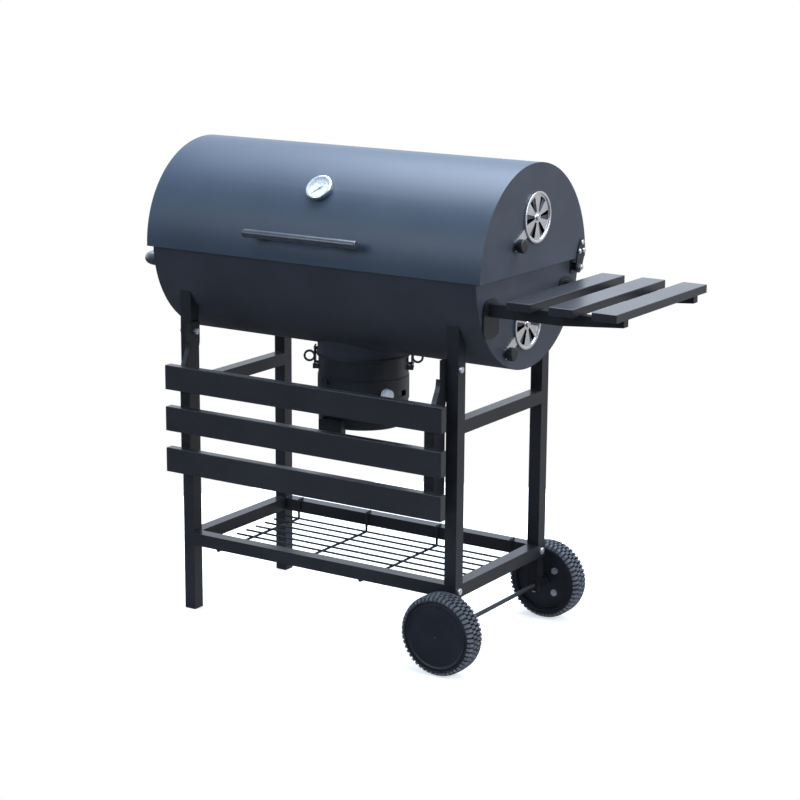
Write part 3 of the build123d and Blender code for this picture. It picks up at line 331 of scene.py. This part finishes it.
def tyre(name, node, body, inner_side):
    """Build a treaded tyre in the place of a wheel's plain CAD tyre."""
    low, high = [Vector(corner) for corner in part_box(node)]
    centre = (low + high) / 2
    outer = (high.z - low.z) / 2
    half = (high.y - low.y) / 2
    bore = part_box(node.replace("tyre", "hub"))
    hub_r = (bore[1][2] - bore[0][2]) / 2

    def point(radius, y, angle):
        return centre + Vector((radius * cos(angle), y * inner_side, radius * sin(angle)))

    bm = bmesh.new()
    profile = [
        (hub_r, half - 0.004),
        (hub_r + 0.0012, half - 0.0012),
        (hub_r + 0.003, half - 0.0006),
        (outer - TREAD_DEPTH - 0.0035, half - 0.0028),
        (outer - TREAD_DEPTH - 0.0008, half - 0.0065),
        (outer - TREAD_DEPTH, half - 0.012),
        (outer - TREAD_DEPTH, 0.0),
    ]
    profile += [(r, -y) for r, y in reversed(profile[:-1])]
    rings = []
    for step in range(TYRE_SEGMENTS):
        angle = 2 * pi * step / TYRE_SEGMENTS
        rings.append([bm.verts.new(point(r, y, angle)) for r, y in profile])
    for step in range(TYRE_SEGMENTS):
        here, there = rings[step], rings[(step + 1) % TYRE_SEGMENTS]
        for i in range(len(profile)):
            j = (i + 1) % len(profile)
            bm.faces.new((here[i], here[j], there[j], there[i]))
    carcass_faces = len(bm.faces)
    # Each row's blocks: stations from the middle of the tread out to the shoulder
    middle = ((0.001, outer), (half * 0.22, outer), (half * 0.40, outer - 0.0002))
    shoulder = ((half * 0.47, outer - 0.0003), (half - 0.011, outer - 0.0006),
                (half - 0.005, outer - 0.0028), (half - 0.0012, outer - 0.0082))
    pitch = 2 * pi / LUGS
    rows = ((1, middle, 0.0), (-1, middle, 0.5), (1, shoulder, 0.5), (-1, shoulder, 0.0))
    for row, stations, phase in rows:
        for lug in range(LUGS):
            start = (lug + phase) * pitch
            tops, roots = [], []
            for y, r in stations:
                skew = BLOCK_SKEW * y * row
                for edge in (-BLOCK_HALF, BLOCK_HALF):
                    tops.append(bm.verts.new(point(r, row * y, start + edge * pitch + skew)))
                    root = min(r - 0.003, outer - TREAD_DEPTH - 0.001)
                    angle = start + edge * ROOT_FLARE * pitch + skew
                    roots.append(bm.verts.new(point(root, row * min(y, half - 0.003), angle)))
            for k in range(len(stations) - 1):
                a = 2 * k
                bm.faces.new((tops[a], tops[a + 1], tops[a + 3], tops[a + 2]))
                bm.faces.new((roots[a + 1], roots[a], roots[a + 2], roots[a + 3]))
                bm.faces.new((tops[a], tops[a + 2], roots[a + 2], roots[a]))
                bm.faces.new((tops[a + 3], tops[a + 1], roots[a + 1], roots[a + 3]))
            bm.faces.new((tops[1], tops[0], roots[0], roots[1]))
            bm.faces.new((tops[-2], tops[-1], roots[-1], roots[-2]))
    bm.faces.ensure_lookup_table()
    # Blocks take the lighter rubber: painted highlight on the tread
    for face in bm.faces[carcass_faces:]:
        face.material_index = 1
    obj = piece(name, bm, body, "tyre", "rubber", "tread", smooth=28.0)
    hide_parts(node)
    return obj


tyre("tyre_front_tread", "wheel_front_tyre", "wheel_front", -1)
tyre("tyre_back_tread", "wheel_back_tyre", "wheel_back", 1)


# Painted weld beads in the corners where tubes meet
def bead(bm, start, end, radius=0.0022, ripple=0.0024):
    """A rippled weld bead along a straight corner."""
    run = end - start
    steps = max(6, int(run.length / ripple) * 3)
    along = run.normalized()
    side = along.orthogonal().normalized()
    up = along.cross(side)
    sides = 8
    rings = []
    for step in range(steps + 1):
        t = step / steps
        swell = 0.86 + 0.14 * abs(sin(pi * t * run.length / ripple))
        ends = min(1.0, 0.35 + 6.0 * min(t, 1.0 - t))
        r = radius * swell * ends
        ring = []
        for k in range(sides):
            angle = 2 * pi * k / sides
            offset = side * (r * cos(angle)) + up * (r * sin(angle))
            ring.append(bm.verts.new(start + run * t + offset))
        rings.append(ring)
    for here, there in zip(rings, rings[1:]):
        for k in range(sides):
            bm.faces.new((here[k], here[(k + 1) % sides], there[(k + 1) % sides], there[k]))
    bm.faces.new(rings[0])
    bm.faces.new(tuple(reversed(rings[-1])))


welds = bmesh.new()
INSET = 0.0025
for node in ("crossbar_left", "crossbar_right", "rail_left", "rail_right"):
    low, high = [Vector(corner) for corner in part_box(node)]
    for y in (low.y, high.y):
        for z in (low.z, high.z):
            bead(welds, Vector((low.x + INSET, y, z)), Vector((high.x - INSET, y, z)))
for node in ("rail_front", "rail_back"):
    low, high = [Vector(corner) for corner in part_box(node)]
    for x in (low.x, high.x):
        for z in (low.z, high.z):
            bead(welds, Vector((x, low.y + INSET, z)), Vector((x, high.y - INSET, z)))
for node in ("table_arm_front", "table_arm_back"):
    low, high = [Vector(corner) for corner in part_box(node)]
    for y in (low.y, high.y):
        foot, head = low.z + 0.006, high.z - 0.022
        bead(welds, Vector((low.x + 0.002, y, foot)), Vector((low.x + 0.002, y, head)))
piece("weld_beads", welds, "base", "black_paint", "weld", smooth=60.0)

# Thermometer dial: ticks round the scale, short figures and a printed arc
case_low, case_high = [Vector(corner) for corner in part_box("thermometer_dial")]
dial_centre = (case_low + case_high) / 2
dial_r = (case_high.x - case_low.x) / 2
joint = next(j for j in frame["joints"] if j["name"] == "needle_turn")
dial_out = Vector(joint["axis"]).normalized()
dial_right = Vector((1, 0, 0))
dial_up = dial_out.cross(dial_right)
dial_face = dial_centre + dial_out * 0.00058


def on_dial(radius, angle, lift=0.0):
    """Point on the dial, its angle clockwise from the top."""
    turn = radians(angle)
    flat = dial_right * (radius * sin(turn)) + dial_up * (radius * cos(turn))
    return dial_face + flat + dial_out * lift


TICKS = 28
TICK_STEP = 10
SCALE_START = -135
ARC_STEPS = 40
ARC_HALF = 40
FIGURES = (("50", -120), ("100", -70), ("150", -24), ("200", 24), ("250", 70), ("300", 120))
marks = bmesh.new()
for tick in range(TICKS):
    angle = SCALE_START + tick * TICK_STEP
    long = tick % 3 == 0
    inner = dial_r * (0.76 if long else 0.83)
    wide = 1.6 if long else 0.8
    corners = [
        (inner, angle - wide), (inner, angle + wide),
        (dial_r * 0.92, angle + wide), (dial_r * 0.92, angle - wide),
    ]
    flat = [marks.verts.new(on_dial(r, a)) for r, a in corners]
    raised = [marks.verts.new(on_dial(r, a, 0.00012)) for r, a in corners]
    marks.faces.new(raised)
    for k in range(4):
        marks.faces.new((flat[k], flat[(k + 1) % 4], raised[(k + 1) % 4], raised[k]))
outer_arc, inner_arc = [], []
for step in range(ARC_STEPS + 1):
    angle = -ARC_HALF + step * 2 * ARC_HALF / ARC_STEPS
    outer_arc.append(marks.verts.new(on_dial(dial_r * 0.66, angle, 0.0001)))
    inner_arc.append(marks.verts.new(on_dial(dial_r * 0.60, angle, 0.0001)))
for step in range(ARC_STEPS):
    marks.faces.new((outer_arc[step], outer_arc[step + 1], inner_arc[step + 1], inner_arc[step]))
piece("dial_marks", marks, "lid", "dial_white", "ink", smooth=30.0)

for value, angle in FIGURES:
    text = bpy.data.curves.new(f"figure_{value}", "FONT")
    text.body = value
    text.size = dial_r * 0.24
    text.extrude = 0.00006
    text.align_x = "CENTER"
    text.align_y = "CENTER"
    carrier = bpy.data.objects.new(f"figure_{value}_curve", text)
    bpy.context.collection.objects.link(carrier)
    bpy.context.view_layer.update()
    mesh = bpy.data.meshes.new_from_object(carrier)
    bpy.data.objects.remove(carrier)
    place = Matrix((dial_right, dial_up, dial_out)).transposed().to_4x4()
    place.translation = on_dial(dial_r * 0.5, angle, 0.0001)
    mesh.transform(place)
    mesh.materials.clear()
    mesh.materials.append(mats["ink"])
    figure = bpy.data.objects.new(f"dial_figure_{value}", mesh)
    bpy.context.collection.objects.link(figure)
    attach(figure, "lid")


# Floor, lights and camera
def plain(name, colour, rough, glow):
    """Matt studio surface with a little glow."""
    mat = bpy.data.materials.new(name)
    mat.use_nodes = True
    shader = mat.node_tree.nodes["Principled BSDF"]
    coords = mat.node_tree.nodes.new("ShaderNodeTexCoord").outputs["Object"]
    shade = tuple(c * 0.985 for c in colour)
    tone = mix(mat.node_tree, noise(mat.node_tree, coords, 3.0), colour, shade)
    mat.node_tree.links.new(tone, shader.inputs["Base Color"])
    shader.inputs["Roughness"].default_value = rough
    shader.inputs["Specular IOR Level"].default_value = 0.0
    shader.inputs["Emission Color"].default_value = (1.0, 1.0, 1.0, 1.0)
    shader.inputs["Emission Strength"].default_value = glow
    return mat


FLOOR_RADIUS = 1.25
floor_bm = bmesh.new()
bmesh.ops.create_circle(floor_bm, cap_ends=True, segments=96, radius=FLOOR_RADIUS)
floor_mesh = bpy.data.meshes.new("floor")
floor_bm.to_mesh(floor_mesh)
floor_bm.free()
floor_mesh.materials.append(plain("floor_white", (0.86, 0.86, 0.86), 0.9, 0.55))
floor = bpy.data.objects.new("floor", floor_mesh)
floor.location.z = LOW.z - 0.0005
bpy.context.collection.objects.link(floor)
floor.visible_glossy = False

# World: white to the camera, and a studio with bright far walls to everything else
FAR_LEFT = (-0.54, 0.84, 0.0)
FAR_RIGHT = (0.54, 0.84, 0.0)
world = bpy.data.worlds.new("studio")
bpy.context.scene.world = world
world.use_nodes = True
sky = world.node_tree
sky.nodes.clear()
direction = sky.nodes.new("ShaderNodeTexCoord").outputs["Generated"]
parts = sky.nodes.new("ShaderNodeSeparateXYZ")
sky.links.new(direction, parts.inputs["Vector"])
height = ramp(sky, parts.outputs["Z"], 0.0, 1.0, -0.02, 0.9)


def facing(way, start, end):
    """How far a direction points one way, from 0 to 1."""
    dot = sky.nodes.new("ShaderNodeVectorMath")
    dot.operation = "DOT_PRODUCT"
    dot.inputs[1].default_value = way
    sky.links.new(direction, dot.inputs[0])
    return ramp(sky, dot.outputs["Value"], 0.0, 1.0, start, end)


far_side = facing(FAR_LEFT, 0.1, 0.8)
right_wall = facing(FAR_RIGHT, 0.45, 0.95)
around = mix(sky, far_side, (0.12, 0.135, 0.165), (1.5, 1.55, 1.66))
above = mix(sky, height, around, (0.5, 0.68, 0.98))
low_side = mix(sky, right_wall, (0.06, 0.062, 0.07), (0.44, 0.44, 0.45))
ground = ramp(sky, parts.outputs["Z"], 0.0, 1.0, -0.12, 0.0)
tint = mix(sky, ground, low_side, above)
dim = sockets(sky, "ShaderNodeBackground", Strength=1.0)
sky.links.new(tint, dim.inputs["Color"])
white = sockets(sky, "ShaderNodeBackground", Color=(1.0, 1.0, 1.0, 1.0), Strength=1.0)
rays = sky.nodes.new("ShaderNodeLightPath")
choose = sky.nodes.new("ShaderNodeMixShader")
sky.links.new(rays.outputs["Is Camera Ray"], choose.inputs["Fac"])
sky.links.new(dim.outputs["Background"], choose.inputs[1])
sky.links.new(white.outputs["Background"], choose.inputs[2])
out = sky.nodes.new("ShaderNodeOutputWorld")
sky.links.new(choose.outputs["Shader"], out.inputs["Surface"])


def softbox(name, place, aim, size, power, colour):
    """Rectangular area light aimed at a point."""
    lamp = bpy.data.lights.new(name, "AREA")
    lamp.shape = "RECTANGLE"
    lamp.size, lamp.size_y = size
    lamp.energy = power
    lamp.color = colour
    obj = bpy.data.objects.new(name, lamp)
    obj.location = place
    obj.rotation_euler = (Vector(aim) - Vector(place)).to_track_quat("-Z", "Y").to_euler()
    bpy.context.collection.objects.link(obj)
    return obj


softbox("overhead", (0.0, 0.5, 3.4), (0.0, 0.0, 0.9), (3.4, 2.4), 210.0, (0.76, 0.87, 1.0))
softbox("right_side", (3.6, 0.3, 1.9), (0.2, 0.0, 0.8), (1.8, 1.8), 65.0, (0.9, 0.94, 1.0))
softbox("front_fill", (-1.5, -4.0, 2.6), (0.0, 0.0, 0.7), (3.0, 1.6), 60.0, (0.84, 0.92, 1.0))

# Camera: turned right of the front, looking down, and rolled a little
AZIMUTH, FALL, ROLL = radians(32.89), radians(13.33), radians(0.38)
CAMERA_PLACE = Vector((2.64426, -4.11363, 1.69890))
LENS_MM = 98.14
forward = Vector((-sin(AZIMUTH) * cos(FALL), cos(AZIMUTH) * cos(FALL), -sin(FALL)))
level = Vector((cos(AZIMUTH), sin(AZIMUTH), 0.0))
upright = level.cross(forward)
across = level * cos(ROLL) + upright * sin(ROLL)
over = upright * cos(ROLL) - level * sin(ROLL)
cam_data = bpy.data.cameras.new("camera")
cam_data.lens = LENS_MM
cam_data.sensor_width = 36.0
cam_data.clip_end = 60.0
camera = bpy.data.objects.new("camera", cam_data)
turn = Matrix((across, over, -forward)).transposed().to_4x4()
turn.translation = CAMERA_PLACE
camera.matrix_world = turn
bpy.context.collection.objects.link(camera)
bpy.context.scene.camera = camera
bpy.context.scene.view_settings.view_transform = "Standard"
